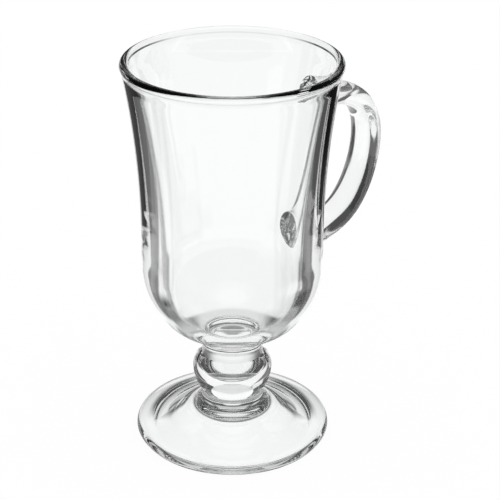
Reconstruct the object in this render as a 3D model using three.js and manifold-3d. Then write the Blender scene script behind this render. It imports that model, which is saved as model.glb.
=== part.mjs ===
import * as THREE from 'three';
import Module from 'manifold-3d';

// Footed glass mug, in millimetres, +Z up, standing on z = 0 with its handle towards +X.

// Levels of the pieces along the mug's axis
const rimTopZ = 142.8;
const wallTopZ = 138.5;
const wallFootZ = 67;
const bowlJointZ = 37;
const knopTopZ = 32;
const knopWideZ = 26.2;
const knopFootZ = 17;

// Bowl: flared wall, rolled lip and rounded base
const rimR = 38;
const lipR = 1.5;
const wallFootR = 32.2;
const wallFlare = 5;
const wallFlarePower = 2.24;
const wallWaist = 1.9;
const baseArcR = 23.9;
const baseArcH = 27.1;
const neckFilletR = 20;
const neckR = 11.1;
const wallThickTop = 3.1;
const wallThickFoot = 6.75;
const cavityFloorZ = 42.1;
const cavityFullness = 2.2;

// Stem: waisted upper collar, ball knop, and a lower collar whose cove runs out onto the foot
const upperWaistR = 10.9;
const knopR = 14.3;
const lowerNeckR = 11.3;
const covePullZ = 10.44;
const coveR = 18;
const coveEndZ = 9.4;

// Foot: domed disc with a rolled edge, standing on a ring around a hollow underside
const footR = 35.3;
const footEdgeR = 2.3;
const footEdgeZ = 2.5;
const footShoulderR = 27;
const standR = 34;
const standWidth = 5.6;
const standStepZ = 0.6;
const hollowH = 8.6;
const hollowFlatR = 15;
const hollowShoulderR = 20;
const hollowShoulderZ = 6.2;

// Handle: oval rod in a C, with spread ends drawn onto the wall of the bowl
const handleTopZ = 123;
const handleTopRun = 28;
const handleTopLift = 2.5;
const handleOutR = 58.5;
const handleOutZ = 103.3;
const handleOutRise = 12.9;
const handleOutDrop = 11.3;
const handleFootZ = 72.9;
const handleFootRun = 25.9;
const handleFootDip = 0.335;
const handleStartR = 24.8;
const rodHalfThick = 4.2;
const rodHalfWidth = 6.9;
const endHalfThick = 6.8;
const topEndHalfWidth = 6.2;
const footEndHalfWidth = 7.6;
const endSpread = 12;
const endGap = 0.3;

// Facets
const bowlSides = 64;
const footSides = 60;
const stemSides = 48;
const rodSides = 24;
const rodRings = 18;
const coveSteps = 4;

// The mug's axis lies off the origin, so that the origin is the middle of the whole width
const axisX = (rimR - handleOutR - rodHalfThick) / 2;

const point = (r, z) => new THREE.Vector2(r, z);

const steps = (count, make) => Array.from({ length: count + 1 }, (_, i) => make(i / count));

const bend = (from, pull, to, count) =>
  new THREE.QuadraticBezierCurve(from, pull, to).getPoints(count);

const sweep = (from, pullFrom, pullTo, to, count) =>
  new THREE.CubicBezierCurve(from, pullFrom, pullTo, to).getPoints(count);

const arc = (centreR, centreZ, radiusR, radiusZ, fromDeg, toDeg, count) =>
  steps(count, (t) => {
    const angle = THREE.MathUtils.degToRad(fromDeg + (toDeg - fromDeg) * t);
    return point(centreR + radiusR * Math.cos(angle), centreZ + radiusZ * Math.sin(angle));
  });

const wallShare = (z) => Math.max(0, (z - wallFootZ) / (wallTopZ - wallFootZ));
const waistIn = (share) => wallWaist * share * (1 - share);
const flareOut = (share) => wallFlare * share ** wallFlarePower;
const outerR = (z) => wallFootR + flareOut(wallShare(z)) - waistIn(wallShare(z));
const thickness = (z) => wallThickFoot + (wallThickTop - wallThickFoot) * wallShare(z);

// Outside of the bowl from its joint with the stem up to the lip
function bowlOutside(gap) {
  const arcCentreR = wallFootR - baseArcR;
  const filletCos = (neckFilletR - arcCentreR) / baseArcR;
  const filletDeg = -THREE.MathUtils.radToDeg(Math.acos(filletCos));
  const filletSin = Math.sqrt(1 - filletCos ** 2);
  const filletSlope = (baseArcH * filletCos) / (baseArcR * filletSin);
  const filletZ = wallFootZ - baseArcH * filletSin;
  const pullZ = filletZ - (neckFilletR - neckR) * filletSlope;
  const fillet = bend(
    point(neckR, bowlJointZ),
    point(neckR, pullZ),
    point(neckFilletR, filletZ),
    4,
  );
  const base = arc(arcCentreR, wallFootZ, baseArcR, baseArcH, filletDeg, 0, 10);
  const wall = steps(8, (t) => wallFootZ + (wallTopZ - wallFootZ) * t);
  const wallPoints = wall.map((z) => point(outerR(z), z));
  const outside = [...fillet, ...base.slice(1), ...wallPoints.slice(1)];
  return outside.map((p) => point(p.x + gap, p.y));
}

function bowlProfile() {
  const lip = arc(rimR - lipR, rimTopZ - lipR, lipR, lipR, -55, 205, 9);
  const wall = steps(8, (t) => wallTopZ + (wallFootZ - wallTopZ) * t);
  const inside = wall.map((z) => point(outerR(z) - thickness(z), z));
  const floor = steps(10, (t) => {
    const angle = (Math.PI / 2) * t;
    const reach = Math.cos(angle) ** (2 / cavityFullness);
    const depth = Math.sin(angle) ** (2 / cavityFullness);
    const r = (wallFootR - wallThickFoot) * reach;
    return point(r, wallFootZ - (wallFootZ - cavityFloorZ) * depth);
  });
  return [
    point(0, bowlJointZ),
    ...bowlOutside(0),
    ...lip,
    ...inside,
    ...floor.slice(1, -1),
    point(0, cavityFloorZ),
  ];
}

function upperCollarProfile() {
  const middleZ = (bowlJointZ + knopTopZ) / 2;
  const waist = bend(
    point(neckR, knopTopZ),
    point(2 * upperWaistR - neckR, middleZ),
    point(neckR, bowlJointZ),
    4,
  );
  return [point(0, knopTopZ), ...waist, point(0, bowlJointZ)];
}

// Two half ovals that meet at the knop's widest ring and end on the collars
function knopProfile() {
  const half = (endR, height, fromSide) => {
    const turn = Math.acos(endR / knopR);
    const deg = THREE.MathUtils.radToDeg(turn) * Math.sign(height);
    const oval = Math.abs(height) / Math.sin(turn);
    return arc(0, knopWideZ, knopR, oval, fromSide ? deg : 0, fromSide ? 0 : deg, 6);
  };
  const lower = half(lowerNeckR, knopFootZ - knopWideZ, true);
  const upper = half(neckR, knopTopZ - knopWideZ, false);
  return [point(0, knopFootZ), ...lower, ...upper.slice(1), point(0, knopTopZ)];
}

// One cove from the foot up to the knop, parted half way by the joint of foot and collar
const cove = bend(
  point(coveR, coveEndZ),
  point(lowerNeckR, covePullZ),
  point(lowerNeckR, knopFootZ),
  2 * coveSteps,
);
const collarFootZ = cove[coveSteps].y;

function lowerCollarProfile() {
  return [point(0, collarFootZ), ...cove.slice(coveSteps), point(0, knopFootZ)];
}

function footProfile() {
  const edgeR = footR - footEdgeR;
  const stepDeg = -THREE.MathUtils.radToDeg(Math.asin((footEdgeZ - standStepZ) / footEdgeR));
  const edge = arc(edgeR, footEdgeZ, footEdgeR, footEdgeR, stepDeg, 84, 9);
  const slope = (coveEndZ - covePullZ) / (coveR - lowerNeckR);
  const shoulder = point(footShoulderR, coveEndZ + (footShoulderR - coveR) * slope);
  const top = bend(edge[edge.length - 1], shoulder, cove[0], 6);
  const hollow = sweep(
    point(0, hollowH),
    point(hollowFlatR, hollowH),
    point(hollowShoulderR, hollowShoulderZ),
    point(standR - standWidth, 0),
    8,
  );
  return [
    ...hollow,
    point(standR, 0),
    point(standR, standStepZ),
    ...edge,
    ...top.slice(1),
    ...cove.slice(1, coveSteps + 1),
    point(0, collarFootZ),
  ];
}

const glass = new THREE.MeshStandardMaterial({ name: 'clear_glass', color: 0xeef2f2, roughness: 0.05 });

function turned(profile, sides) {
  const geometry = new THREE.LatheGeometry(profile, sides);
  geometry.rotateX(Math.PI / 2);
  return geometry;
}

function handleCentreline() {
  const out = point(handleOutR, handleOutZ);
  const upper = new THREE.CubicBezierCurve(
    point(handleStartR, handleTopZ),
    point(handleStartR + handleTopRun, handleTopZ + handleTopLift),
    point(handleOutR, handleOutZ + handleOutRise),
    out,
  );
  const lower = new THREE.CubicBezierCurve(
    out,
    point(handleOutR, handleOutZ - handleOutDrop),
    point(handleStartR + handleFootRun, handleFootZ - handleFootRun * handleFootDip),
    point(handleStartR, handleFootZ),
  );
  const along = (curve) =>
    steps(rodRings, (t) => ({ at: curve.getPoint(t), way: curve.getTangent(t) }));
  return [...along(upper), ...along(lower).slice(1)];
}

// Each ring of the rod is an oval across the centreline, widening towards the wall of the bowl
function handleRod() {
  const positions = [];
  const rings = handleCentreline();
  for (const { at, way } of rings) {
    const near = Math.max(0, 1 - (at.x - outerR(at.y)) / endSpread);
    const spread = Math.min(1, near) ** 2;
    const halfThick = rodHalfThick + (endHalfThick - rodHalfThick) * spread;
    const endHalfWidth = at.y > handleOutZ ? topEndHalfWidth : footEndHalfWidth;
    const halfWidth = rodHalfWidth + (endHalfWidth - rodHalfWidth) * spread;
    for (let side = 0; side < rodSides; side += 1) {
      const angle = (2 * Math.PI * side) / rodSides;
      const across = halfThick * Math.cos(angle);
      positions.push(at.x - way.y * across, halfWidth * Math.sin(angle), at.y + way.x * across);
    }
  }
  const triangles = [];
  const last = rings.length - 1;
  for (let ring = 0; ring < last; ring += 1) {
    for (let side = 0; side < rodSides; side += 1) {
      const a = ring * rodSides + side;
      const b = ring * rodSides + ((side + 1) % rodSides);
      triangles.push(a, b + rodSides, b, a, a + rodSides, b + rodSides);
    }
  }
  for (let side = 1; side < rodSides - 1; side += 1) {
    triangles.push(0, side, side + 1);
    triangles.push(last * rodSides, last * rodSides + side + 1, last * rodSides + side);
  }
  return { positions, triangles };
}

const kernel = await Module();
kernel.setup();

function solid(positions, triangles) {
  const mesh = new kernel.Mesh({
    numProp: 3,
    vertProperties: Float32Array.from(positions),
    triVerts: Uint32Array.from(triangles),
  });
  mesh.merge();
  return kernel.Manifold.ofMesh(mesh);
}

// The rod is cut where it meets the wall, a hair off the glass of the bowl
function handleGeometry() {
  const rod = handleRod();
  const outside = bowlOutside(endGap);
  const core = turned([point(0, bowlJointZ), ...outside, point(0, wallTopZ)], bowlSides);
  const cutter = solid(core.attributes.position.array, core.index.array);
  const cut = solid(rod.positions, rod.triangles).subtract(cutter).getMesh();
  const geometry = new THREE.BufferGeometry();
  geometry.setAttribute('position', new THREE.BufferAttribute(cut.vertProperties, 3));
  geometry.setIndex(new THREE.BufferAttribute(cut.triVerts, 1));
  geometry.computeVertexNormals();
  return geometry;
}

const mug = new THREE.Group();
mug.name = 'mug';

function add(name, geometry) {
  geometry.translate(axisX, 0, 0);
  const mesh = new THREE.Mesh(geometry, glass);
  mesh.name = name;
  mug.add(mesh);
}

add('bowl', turned(bowlProfile(), bowlSides));
add('upper_collar', turned(upperCollarProfile(), stemSides));
add('knop', turned(knopProfile(), stemSides));
add('lower_collar', turned(lowerCollarProfile(), stemSides));
add('foot', turned(footProfile(), footSides));
add('handle', handleGeometry());

export default mug;
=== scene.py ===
import math

import bpy
import bmesh
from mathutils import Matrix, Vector


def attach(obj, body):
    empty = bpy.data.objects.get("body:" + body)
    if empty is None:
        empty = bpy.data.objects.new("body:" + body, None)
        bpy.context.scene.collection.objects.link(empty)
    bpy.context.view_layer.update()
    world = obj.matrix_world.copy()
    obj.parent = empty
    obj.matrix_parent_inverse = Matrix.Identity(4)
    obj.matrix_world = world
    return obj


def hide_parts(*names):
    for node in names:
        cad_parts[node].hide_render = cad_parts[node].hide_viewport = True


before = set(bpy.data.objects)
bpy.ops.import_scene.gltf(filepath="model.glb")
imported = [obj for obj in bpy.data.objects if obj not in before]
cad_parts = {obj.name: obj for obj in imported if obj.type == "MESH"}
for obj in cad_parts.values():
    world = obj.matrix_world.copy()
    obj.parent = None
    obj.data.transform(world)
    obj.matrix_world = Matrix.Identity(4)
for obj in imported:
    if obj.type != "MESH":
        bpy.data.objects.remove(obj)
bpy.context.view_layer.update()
print("frame loaded:", sorted(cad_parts))

scene = bpy.context.scene
mm = 0.001
axisX = -12.35   # the mug's axis in the part's frame, mm
turnSides = 144  # facets round a turned piece
creaseDeg = 50   # steeper edges stay sharp
sameMm = 1e-4    # points closer than this are one
tiny = 1e-6


def srgb(code):
    def toLinear(c):
        return c / 12.92 if c <= 0.04045 else ((c + 0.055) / 1.055) ** 2.4
    return tuple(toLinear(int(code[i:i + 2], 16) / 255) for i in (1, 3, 5)) + (1.0,)


def addNode(tree, kind, links=(), inputs=None, **settings):
    node = tree.nodes.new(kind)
    for name, value in settings.items():
        setattr(node, name, value)
    for name, value in (inputs or {}).items():
        node.inputs[name].default_value = value
    for source, target in links:
        tree.links.new(source, node.inputs[target])
    return node


def emptyMaterial(name):
    material = bpy.data.materials.new(name)
    material.use_nodes = True
    material.node_tree.nodes.clear()
    return material


# soda-lime glass, pressed and fire-polished: clear, colourless, mirror-smooth,
# with the faint lengthwise waves that the plunger leaves in the wall
glassLook = {
    "tint": "#fdfefe",
    "ior": 1.52,
    "roughness": 0.0,
    "waveMm": 14.0,      # width of one wave round the wall
    "waveTallMm": 70.0,  # and its height up the wall
    "waveDepthMm": 0.012,
}


def sodaLimeGlass():
    look = glassLook
    material = emptyMaterial("sodaLimeGlassFirePolished")
    tree = material.node_tree
    across, along = 1000 / look["waveMm"], 1000 / look["waveTallMm"]  # waves in a metre
    coords = addNode(tree, "ShaderNodeTexCoord")
    stretch = addNode(tree, "ShaderNodeMapping", [(coords.outputs["Object"], "Vector")],
                      {"Scale": (across, across, along)})
    waves = addNode(tree, "ShaderNodeTexNoise", [(stretch.outputs["Vector"], "Vector")],
                    {"Scale": 1.0, "Detail": 1.0, "Roughness": 0.4})
    ripple = addNode(tree, "ShaderNodeBump", [(waves.outputs["Fac"], "Height")],
                     {"Strength": 1.0, "Distance": look["waveDepthMm"] * mm})
    shader = addNode(tree, "ShaderNodeBsdfPrincipled", [(ripple.outputs["Normal"], "Normal")], {
        "Base Color": srgb(look["tint"]),
        "Roughness": look["roughness"],
        "IOR": look["ior"],
        "Transmission Weight": 1.0,
    })
    addNode(tree, "ShaderNodeOutputMaterial", [(shader.outputs["BSDF"], "Surface")])
    return material


glass = sodaLimeGlass()
print("glass mixed")


def bezier(points, count):
    path = []
    for i in range(count + 1):
        t = i / count
        level = [Vector(p) for p in points]
        while len(level) > 1:
            level = [a.lerp(b, t) for a, b in zip(level, level[1:])]
        path.append(tuple(level[0]))
    return path


def arc(centre, radii, fromDeg, toDeg, count):
    path = []
    for i in range(count + 1):
        a = math.radians(fromDeg + (toDeg - fromDeg) * i / count)
        path.append((centre[0] + radii[0] * math.cos(a), centre[1] + radii[1] * math.sin(a)))
    return path


def joined(*runs):
    path = []
    for run in runs:
        for p in run:
            if not path or math.dist(p, path[-1]) > sameMm:
                path.append(p)
    return path


# mm about the mug's axis to metres in the frame
def point(x, y, z):
    return (axisX + x) * mm, y * mm, z * mm


def ringPoint(r, a, z):
    return point(r * math.cos(a), r * math.sin(a), z)


def meshOf(name, bm):
    mesh = bpy.data.meshes.new(name)
    bm.to_mesh(mesh)
    bm.free()
    return mesh


def linked(name, data):
    made = bpy.data.objects.new(name, data)
    scene.collection.objects.link(made)
    return made


# spins a list of (radius, height) in mm about the mug's axis;
# a point on the axis becomes one vertex
def turned(name, profile):
    bm = bmesh.new()
    angles = [2 * math.pi * (i + 0.5) / turnSides for i in range(turnSides)]
    rows = []
    for r, z in profile:
        if r < tiny:
            rows.append([bm.verts.new(point(0, 0, z))])
        else:
            rows.append([bm.verts.new(ringPoint(r, a, z)) for a in angles])
    for low, high in zip(rows, rows[1:]):
        for i in range(turnSides):
            j = (i + 1) % turnSides
            if len(low) == 1:
                bm.faces.new((low[0], high[j], high[i]))
            elif len(high) == 1:
                bm.faces.new((low[i], low[j], high[0]))
            else:
                bm.faces.new((low[i], low[j], high[j], high[i]))
    return meshOf(name, bm)


def place(name, mesh, node):
    piece = linked(name, mesh)
    mesh.shade_smooth()
    mesh.set_sharp_from_angle(angle=math.radians(creaseDeg))
    mesh.materials.append(glass)
    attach(piece, "root")
    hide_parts(node)


bowl = {
    "rimR": 38.0, "rimTop": 142.8,
    "lipR": 1.5, "lipFromDeg": -55, "lipToDeg": 180,  # the roll, from outside over to inside
    "wallTop": 138.5, "wallFoot": 67.0, "wallFootR": 32.2,
    "flare": 5.0, "flarePower": 2.24, "waist": 1.9,
    "thickTop": 3.1, "thickFoot": 6.75,
    "baseArcR": 23.9, "baseArcH": 27.1, "filletR": 20.0, "neckR": 11.1, "joint": 37.0,
    "floor": 42.1, "fullness": 2.2,  # the cavity's floor is a superellipse
    "filletSteps": 14, "baseSteps": 36, "wallSteps": 40, "lipSteps": 26, "floorSteps": 40,
}


def wallShare(z):
    return (z - bowl["wallFoot"]) / (bowl["wallTop"] - bowl["wallFoot"])


def outerR(z):
    share = wallShare(z)
    drawnIn = bowl["waist"] * share * (1 - share)
    return bowl["wallFootR"] + bowl["flare"] * max(0, share) ** bowl["flarePower"] - drawnIn


def innerR(z):
    thinner = (bowl["thickTop"] - bowl["thickFoot"]) * wallShare(z)
    return outerR(z) - bowl["thickFoot"] - thinner


def bowlProfile():
    b = bowl
    centreR = b["wallFootR"] - b["baseArcR"]
    cos = (b["filletR"] - centreR) / b["baseArcR"]
    sin = math.sqrt(1 - cos ** 2)
    filletZ = b["wallFoot"] - b["baseArcH"] * sin
    pullZ = filletZ - (b["filletR"] - b["neckR"]) * b["baseArcH"] * cos / (b["baseArcR"] * sin)
    fillet = bezier([(b["neckR"], b["joint"]), (b["neckR"], pullZ), (b["filletR"], filletZ)],
                    b["filletSteps"])
    base = arc((centreR, b["wallFoot"]), (b["baseArcR"], b["baseArcH"]),
               -math.degrees(math.acos(cos)), 0, b["baseSteps"])
    tall = b["wallTop"] - b["wallFoot"]
    heights = [b["wallFoot"] + tall * i / b["wallSteps"] for i in range(b["wallSteps"] + 1)]
    wall = [(outerR(z), z) for z in heights]
    lip = arc((b["rimR"] - b["lipR"], b["rimTop"] - b["lipR"]), (b["lipR"], b["lipR"]),
              b["lipFromDeg"], b["lipToDeg"], b["lipSteps"])
    inside = [(innerR(z), z) for z in reversed(heights[:-1])]
    floor = []
    for i in range(b["floorSteps"]):
        a = math.radians(90 * i / b["floorSteps"])
        across = math.cos(a) ** (2 / b["fullness"])
        down = math.sin(a) ** (2 / b["fullness"])
        floor.append((innerR(b["wallFoot"]) * across,
                      b["wallFoot"] - (b["wallFoot"] - b["floor"]) * down))
    return joined(fillet, base, wall, lip, inside, floor, [(0, b["floor"])])


knop = {
    "top": 32.0, "wide": 26.2, "foot": 17.0, "r": 14.3, "footR": 11.3,
    "lowSteps": 24, "highSteps": 20,
}


# the ball is two half ovals that meet at its widest ring and end at the rings of the collars
def knopProfile():
    k = knop
    topTurn = math.acos(bowl["neckR"] / k["r"])
    footTurn = math.acos(k["footR"] / k["r"])
    low = arc((0, k["wide"]), (k["r"], (k["wide"] - k["foot"]) / math.sin(footTurn)),
              -math.degrees(footTurn), 0, k["lowSteps"])
    high = arc((0, k["wide"]), (k["r"], (k["top"] - k["wide"]) / math.sin(topTurn)),
               0, math.degrees(topTurn), k["highSteps"])
    return joined(low, high)


upperCollar = {"waistR": 10.9, "steps": 12}


def upperCollarProfile():
    pullR = 2 * upperCollar["waistR"] - bowl["neckR"]
    middle = (bowl["joint"] + knop["top"]) / 2
    return bezier([(bowl["neckR"], knop["top"]), (pullR, middle), (bowl["neckR"], bowl["joint"])],
                  upperCollar["steps"])


# the cove runs from the knop down onto the foot, and the joint is part way along it
lowerCollar = {"pullZ": 10.44, "coveR": 18.0, "coveEndZ": 9.4, "steps": 32, "jointStep": 16}

cove = bezier([(lowerCollar["coveR"], lowerCollar["coveEndZ"]),
               (knop["footR"], lowerCollar["pullZ"]),
               (knop["footR"], knop["foot"])], lowerCollar["steps"])

foot = {
    "footR": 35.3, "edgeR": 2.3, "edgeZ": 2.5, "edgeToDeg": 84, "shoulderR": 27.0,
    "standR": 34.0, "standWidth": 5.6, "stepZ": 0.6,
    "hollow": 8.6, "hollowFlatR": 15.0, "hollowShoulderR": 20.0, "hollowShoulderZ": 6.2,
    "edgeSteps": 30, "topSteps": 24, "hollowSteps": 36,
}


def footProfile():
    f, c = foot, lowerCollar
    stepDeg = -math.degrees(math.asin((f["edgeZ"] - f["stepZ"]) / f["edgeR"]))
    edge = arc((f["footR"] - f["edgeR"], f["edgeZ"]), (f["edgeR"], f["edgeR"]),
               stepDeg, f["edgeToDeg"], f["edgeSteps"])
    slope = (c["coveEndZ"] - c["pullZ"]) / (c["coveR"] - knop["footR"])
    shoulderZ = c["coveEndZ"] + (f["shoulderR"] - c["coveR"]) * slope
    top = bezier([edge[-1], (f["shoulderR"], shoulderZ), cove[0]], f["topSteps"])
    hollow = bezier([(0, f["hollow"]), (f["hollowFlatR"], f["hollow"]),
                     (f["hollowShoulderR"], f["hollowShoulderZ"]),
                     (f["standR"] - f["standWidth"], 0)], f["hollowSteps"])
    standing = [(f["standR"], 0), (f["standR"], f["stepZ"])]
    return joined(hollow, standing, edge, top, cove[:c["jointStep"] + 1])


handle = {
    "topZ": 123.0, "topRun": 28.0, "topLift": 2.5,
    "outR": 58.5, "outZ": 103.3, "outRise": 12.9, "outDrop": 11.3,
    "footZ": 72.9, "footRun": 25.9, "footDip": 0.335, "startR": 24.8,
    "halfThick": 4.2, "halfWidth": 6.9,
    "endHalfThick": 6.8, "topEndHalfWidth": 6.2, "footEndHalfWidth": 7.6, "endSpread": 12.0,
    "lineSink": 0.6,  # how far the rod's middle line runs into the wall
    "sink": 1.3,      # and its closed ends, before rod and bowl are fused
    "sides": 56, "rings": 60,
}


def handleLine():
    h = handle
    upper = bezier([(h["startR"], h["topZ"]), (h["startR"] + h["topRun"], h["topZ"] + h["topLift"]),
                    (h["outR"], h["outZ"] + h["outRise"]), (h["outR"], h["outZ"])], h["rings"])
    lower = bezier([(h["outR"], h["outZ"]), (h["outR"], h["outZ"] - h["outDrop"]),
                    (h["startR"] + h["footRun"], h["footZ"] - h["footRun"] * h["footDip"]),
                    (h["startR"], h["footZ"])], h["rings"])
    return [p for p in joined(upper, lower) if p[0] > outerR(p[1]) - h["lineSink"]]


def handleRod():
    h = handle
    line = handleLine()
    last = len(line) - 1
    bm = bmesh.new()
    rings = []
    for k, (r, z) in enumerate(line):
        before, after = line[max(0, k - 1)], line[min(last, k + 1)]
        way = Vector((after[0] - before[0], after[1] - before[1])).normalized()
        near = min(1.0, max(0.0, 1 - (r - outerR(z)) / h["endSpread"])) ** 2
        thick = h["halfThick"] + (h["endHalfThick"] - h["halfThick"]) * near
        endWide = h["topEndHalfWidth"] if z > h["outZ"] else h["footEndHalfWidth"]
        wide = h["halfWidth"] + (endWide - h["halfWidth"]) * near
        ring = []
        for i in range(h["sides"]):
            a = 2 * math.pi * i / h["sides"]
            x = r - way.y * thick * math.cos(a)
            y = wide * math.sin(a)
            up = z + way.x * thick * math.cos(a)
            if k in (0, last):
                x = math.sqrt((outerR(up) - h["sink"]) ** 2 - y ** 2)
            ring.append(bm.verts.new(point(x, y, up)))
        rings.append(ring)
    for one, two in zip(rings, rings[1:]):
        for i in range(h["sides"]):
            j = (i + 1) % h["sides"]
            bm.faces.new((one[i], two[i], two[j], one[j]))
    for ring, (r, z), order in ((rings[0], line[0], 1), (rings[-1], line[-1], -1)):
        tip = bm.verts.new(point(outerR(z) - h["sink"], 0, z))
        for i in range(h["sides"]):
            pair = (ring[i], ring[(i + 1) % h["sides"]])[::order]
            bm.faces.new((tip, *pair))
    bmesh.ops.recalc_face_normals(bm, faces=bm.faces)
    return meshOf("handleRod", bm)


# fuses the rod and the bowl, then parts them again along the weld, so that both stay open there
# and light runs from one into the other as it does in one body of glass
def fuseHandle():
    capped = [(0, bowl["joint"])] + bowlProfile()
    body = linked("fuseBody", turned("fuseBody", capped))
    rod = linked("fuseRod", handleRod())
    marks = [bpy.data.materials.new("markBody"), bpy.data.materials.new("markRod")]
    for made, mark in zip((body, rod), marks):
        made.data.materials.append(mark)
    join = body.modifiers.new("weld", "BOOLEAN")
    join.operation = "UNION"
    join.solver = "EXACT"
    join.material_mode = "TRANSFER"
    join.object = rod
    bpy.context.view_layer.update()
    solved = body.evaluated_get(bpy.context.evaluated_depsgraph_get())
    fused = bpy.data.meshes.new_from_object(solved)
    markOf = [m.name for m in fused.materials]
    parts = []
    for name, mark in (("bowl", "markBody"), ("handle", "markRod")):
        bm = bmesh.new()
        bm.from_mesh(fused)
        away = []
        for f in bm.faces:
            onCap = abs(f.calc_center_median().z - bowl["joint"] * mm) < tiny
            if not markOf[f.material_index].startswith(mark) or (name == "bowl" and onCap):
                away.append(f)
        bmesh.ops.delete(bm, geom=away, context="FACES")
        for f in bm.faces:
            f.material_index = 0
        mesh = meshOf(name, bm)
        print(name, len(mesh.polygons), "faces")
        parts.append(mesh)
    for made in (body, rod):
        bpy.data.objects.remove(made)
    for mark in marks:
        bpy.data.materials.remove(mark)
    return parts


bowlMesh, handleMesh = fuseHandle()
place("bowlGlass", bowlMesh, "bowl")
place("handleGlass", handleMesh, "handle")
place("upperCollarGlass", turned("upperCollar", upperCollarProfile()), "upper_collar")
place("knopGlass", turned("knop", knopProfile()), "knop")
place("lowerCollarGlass", turned("lowerCollar", cove[lowerCollar["jointStep"]:]), "lower_collar")
place("footGlass", turned("foot", footProfile()), "foot")
print("glass pieces placed")


# a bright-field studio: table and room are white to the eye, and dark cards that only the glass
# sees lie on the table and stand in the room, to draw the dark lines along its edges; under and
# round the foot the table sheet also carries a painted shadow of the foot, which only the glass
# sees
studio = {
    "cameraTurn": -34.0,  # degrees round the mug from the front, the handle at +X
    "cameraOut": 506.38, "cameraUp": 314.58, "pitch": 25.598,
    "imagePx": 500, "focalPx": 1587.3, "axisPx": 232.35, "sensorMm": 36.0, "clipStart": 0.01,
    "white": "#ffffff", "dark": "#161616",
    "tableHalf": 3000, "tableDrop": 0.05,
    "tableGlow": 0.95,  # the rest is matt, and takes the mug's shadow
    "screenDrop": 0.02, "screenStepDeg": 2,
    "nearR": 6, "farShare": 200, "tableRings": 150,  # from 6 mm to 200 times as far out
    "roomR": 1200, "roomTopDeg": 90, "roomGrey": 0.93,
}
# width of the soft edges of a card or painted shadow patch where it doesn't say, degrees for turn
# and mm for the rest
softEdge = {"turn": 4, "reach": 20, "line": 10, "lane": 12}
lightPaths = {
    "max_bounces": 24, "transmission_bounces": 24,
    "glossy_bounces": 12, "transparent_max_bounces": 16,
}


def whiteRoom():
    world = bpy.data.worlds.new("studioRoom")
    scene.world = world
    world.use_nodes = True
    tree = world.node_tree
    tree.nodes.clear()
    room = addNode(tree, "ShaderNodeBackground",
                   inputs={"Color": srgb(studio["white"]), "Strength": 1.0})
    addNode(tree, "ShaderNodeOutputWorld", [(room.outputs["Background"], "Surface")])


# opal acrylic lit from below, which glows an even white
def whiteAcrylic():
    material = emptyMaterial("whiteAcrylicTable")
    tree = material.node_tree
    glow = addNode(tree, "ShaderNodeEmission",
                   inputs={"Color": srgb(studio["white"]), "Strength": 1.0})
    matt = addNode(tree, "ShaderNodeBsdfDiffuse", inputs={"Color": srgb(studio["white"])})
    both = addNode(tree, "ShaderNodeMixShader",
                   [(matt.outputs["BSDF"], 1), (glow.outputs["Emission"], 2)],
                   {"Fac": studio["tableGlow"]})
    addNode(tree, "ShaderNodeOutputMaterial", [(both.outputs["Shader"], "Surface")])
    return material


def floorSheet():
    bm = bmesh.new()
    bmesh.ops.create_grid(bm, x_segments=1, y_segments=1, size=studio["tableHalf"] * mm)
    sheet = linked("floorSheet", meshOf("floorSheet", bm))
    sheet.location.z = -studio["tableDrop"] * mm
    sheet.data.materials.append(whiteAcrylic())


# black velvet, which gives back next to no light, over white; on the table near the foot the same
# grey is painted shadow: shade 1 is fully dark all over
def velvetAndPaintedShadow():
    material = emptyMaterial("blackVelvetScreen")
    tree = material.node_tree
    shade = addNode(tree, "ShaderNodeAttribute", attribute_name="shade")
    tone = addNode(tree, "ShaderNodeMix", [(shade.outputs["Fac"], "Factor")],
                   {6: srgb(studio["white"]), 7: srgb(studio["dark"])}, data_type="RGBA")
    glow = addNode(tree, "ShaderNodeEmission", [(tone.outputs[2], "Color")])
    addNode(tree, "ShaderNodeOutputMaterial", [(glow.outputs["Emission"], "Surface")])
    return material


def ramp(value, edge, soft):
    t = min(1.0, max(0.0, (value - edge) / soft + 0.5))
    return t * t * (3 - 2 * t)


# how much of a card or painted shadow patch with soft edges covers the place (turn, reach)
def cover(patch, turn, reach):
    fromReach, toReach = patch["reach"]
    soft = patch.get("softReach", softEdge["reach"])
    share = ramp(reach, fromReach, soft) * (1 - ramp(reach, toReach, soft))
    if "turn" in patch:
        fromTurn, toTurn = patch["turn"]
        middle, half = (fromTurn + toTurn) / 2, (toTurn - fromTurn) / 2
        aside = abs((turn - middle + 180) % 360 - 180)
        share *= 1 - ramp(aside, half, patch.get("softTurn", softEdge["turn"]))
    if "line" in patch:
        side, offset, slope = patch["line"]
        a = math.radians(turn)
        beside = side * reach * math.sin(a) - slope * reach * math.cos(a)
        share *= ramp(beside, offset, softEdge["line"])
    if "lane" in patch:
        toward, halfWide = patch["lane"]
        a = math.radians(turn - toward)
        beside = abs(reach * math.sin(a))
        share *= 1 - ramp(beside, halfWide, softEdge["lane"]) if math.cos(a) > 0 else 0.0
    return share


# a sheet round the mug that only the glass sees, grey where the cards lie on it and, on the table,
# where painted shadow of the foot is laid; ring(reach) gives the (radius, height) of one of its
# rings
def greyScreen(name, base, patches, reaches, ring):
    bm = bmesh.new()
    shade = bm.verts.layers.float.new("shade")
    rows = []
    for turn in range(0, 360, studio["screenStepDeg"]):
        a = math.radians(studio["cameraTurn"] + 90 - turn)
        row = []
        for reach in reaches:
            r, z = ring(reach)
            v = bm.verts.new(ringPoint(r, a, z))
            grey = base
            for patch in patches:
                grey += (patch["grey"] - grey) * cover(patch, turn, reach)
            v[shade] = grey
            row.append(v)
        rows.append(row)
    for one, two in zip(rows, rows[1:] + rows[:1]):
        for i in range(len(reaches) - 1):
            bm.faces.new((one[i], two[i], two[i + 1], one[i + 1]))
    screen = linked(name, meshOf(name, bm))
    screen.visible_camera = False
    screen.visible_diffuse = False
    screen.visible_shadow = False
    screen.data.materials.append(velvetAndShadowMaterial)
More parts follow.
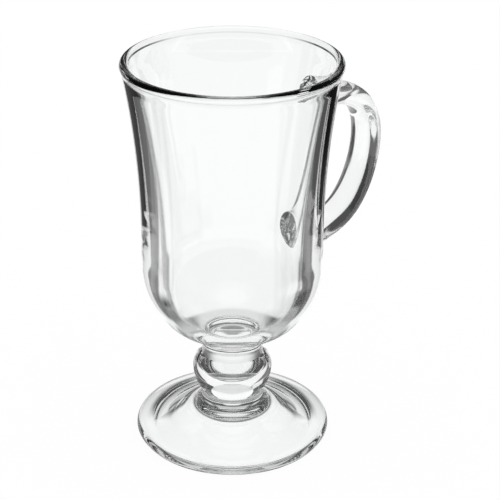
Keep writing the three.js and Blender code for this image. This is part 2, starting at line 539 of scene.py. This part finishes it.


# turn: degrees from straight behind the mug, to the right; reach: mm from its axis;
# line: a straight edge, (side, mm beside the axis, mm further out per mm behind it);
# lane: a straight strip out from the mug, (turn, half its width in mm), left white so that
# the glass stays clear from other sides; a later card or painted shadow patch lies over an earlier
# one
floorCardsAndFootShadow = [
    # the first eight are painted shadow, not cards: the foot's shadow and contact shade on the
    # table, under and round the foot
    {"turn": (-26, 26), "reach": (9, 25), "grey": 0.8, "softReach": 4, "softTurn": 26},
    {"turn": (-85, 85), "reach": (24.5, 29.5), "grey": 0.92, "softReach": 3, "softTurn": 24},
    {"turn": (-80, 80), "reach": (30, 34.5), "grey": 0.14, "softReach": 2, "softTurn": 24},
    {"turn": (-128, 128), "reach": (34.2, 41), "grey": 0.7, "softReach": 2, "softTurn": 16},
    {"turn": (-24, 24), "reach": (40, 60), "grey": 0.24, "softReach": 10, "softTurn": 12},
    {"turn": (20, 340), "reach": (37, 58), "grey": 0.45, "softReach": 14, "softTurn": 14},
    {"turn": (24, 54), "reach": (41, 60), "grey": 0.84, "softReach": 8, "softTurn": 18},
    {"turn": (-54, -24), "reach": (41, 60), "grey": 0.84, "softReach": 8, "softTurn": 18},
    # from here on, dark cards and the white lanes between them
    {"line": (1, 45, 0.52), "turn": (20, 74), "reach": (62, 720), "grey": 0.9},
    {"turn": (34, 58), "reach": (240, 420), "grey": 0.97, "softReach": 40},
    {"turn": (62, 108), "reach": (86, 138), "grey": 0.93},
    {"turn": (66, 110), "reach": (54, 90), "grey": 0.66},
    {"turn": (98, 122), "reach": (100, 205), "grey": 0.88},
    {"line": (-1, 48, 0.32), "turn": (-70, -18), "reach": (64, 740), "grey": 0.82},
    {"turn": (-94, -68), "reach": (86, 1400), "grey": 0.93},
    {"turn": (-106, -66), "reach": (54, 90), "grey": 0.78},
    {"turn": (104, 142), "reach": (56, 100), "grey": 0.88},
    {"lane": (-77, 32), "reach": (116, 790), "grey": 0.08, "softReach": 36},
    {"lane": (-34, 90), "reach": (400, 1400), "grey": 0.08, "softReach": 120},
    {"lane": (101, 40), "reach": (138, 600), "grey": 0.08},
]
# the room is dark to the glass, apart from these; reach: degrees above the table
roomCards = [
    {"turn": (-100, -62), "reach": (-9, 58), "grey": 0.96, "softTurn": 8, "softReach": 6},
    {"turn": (-72, -38), "reach": (40, 72), "grey": 0.93, "softTurn": 8, "softReach": 6},
    {"turn": (-8, 8), "reach": (-9, 16), "grey": 0.12, "softTurn": 5, "softReach": 4},
    {"turn": (-25, 25), "reach": (44, 70), "grey": 0.15, "softTurn": 10, "softReach": 6},
    {"turn": (-22, 22), "reach": (27, 44), "grey": 0.4, "softTurn": 8, "softReach": 6},
    {"turn": (27, 42), "reach": (25, 42), "grey": 0.45, "softTurn": 6, "softReach": 6},
    {"turn": (-42, -27), "reach": (25, 42), "grey": 0.45, "softTurn": 6, "softReach": 6},
    {"reach": (72, 100), "grey": 0.3, "softReach": 6},
    {"turn": (-44, -24), "reach": (-9, 6.5), "grey": 0.1, "softReach": 1},
    {"turn": (-134, -114), "reach": (-9, 6.5), "grey": 0.1, "softReach": 1},
]


def onTable(reach):
    return reach, -studio["screenDrop"]


def inRoom(lift):
    a = math.radians(lift)
    return studio["roomR"] * math.cos(a), studio["roomR"] * math.sin(a) - studio["screenDrop"]


whiteRoom()
floorSheet()
velvetAndShadowMaterial = velvetAndPaintedShadow()
tableReaches = [studio["nearR"] * studio["farShare"] ** (i / studio["tableRings"])
                for i in range(studio["tableRings"] + 1)]
greyScreen("floorScreen", 0.0, floorCardsAndFootShadow, tableReaches, onTable)
greyScreen("roomScreen", studio["roomGrey"], roomCards, range(studio["roomTopDeg"]), inRoom)

camera = linked("camera", bpy.data.cameras.new("camera"))
scene.camera = camera
cameraTurn = math.radians(studio["cameraTurn"])
camera.data.sensor_width = studio["sensorMm"]
camera.data.lens = studio["focalPx"] / studio["imagePx"] * studio["sensorMm"]
camera.data.shift_x = (studio["imagePx"] / 2 - studio["axisPx"]) / studio["imagePx"]
camera.data.clip_start = studio["clipStart"]
camera.location = point(studio["cameraOut"] * math.sin(cameraTurn),
                        -studio["cameraOut"] * math.cos(cameraTurn), studio["cameraUp"])
camera.rotation_euler = (math.radians(90 - studio["pitch"]), 0, cameraTurn)

scene.view_settings.view_transform = "Standard"
for name, count in lightPaths.items():
    setattr(scene.cycles, name, count)
print("studio set")
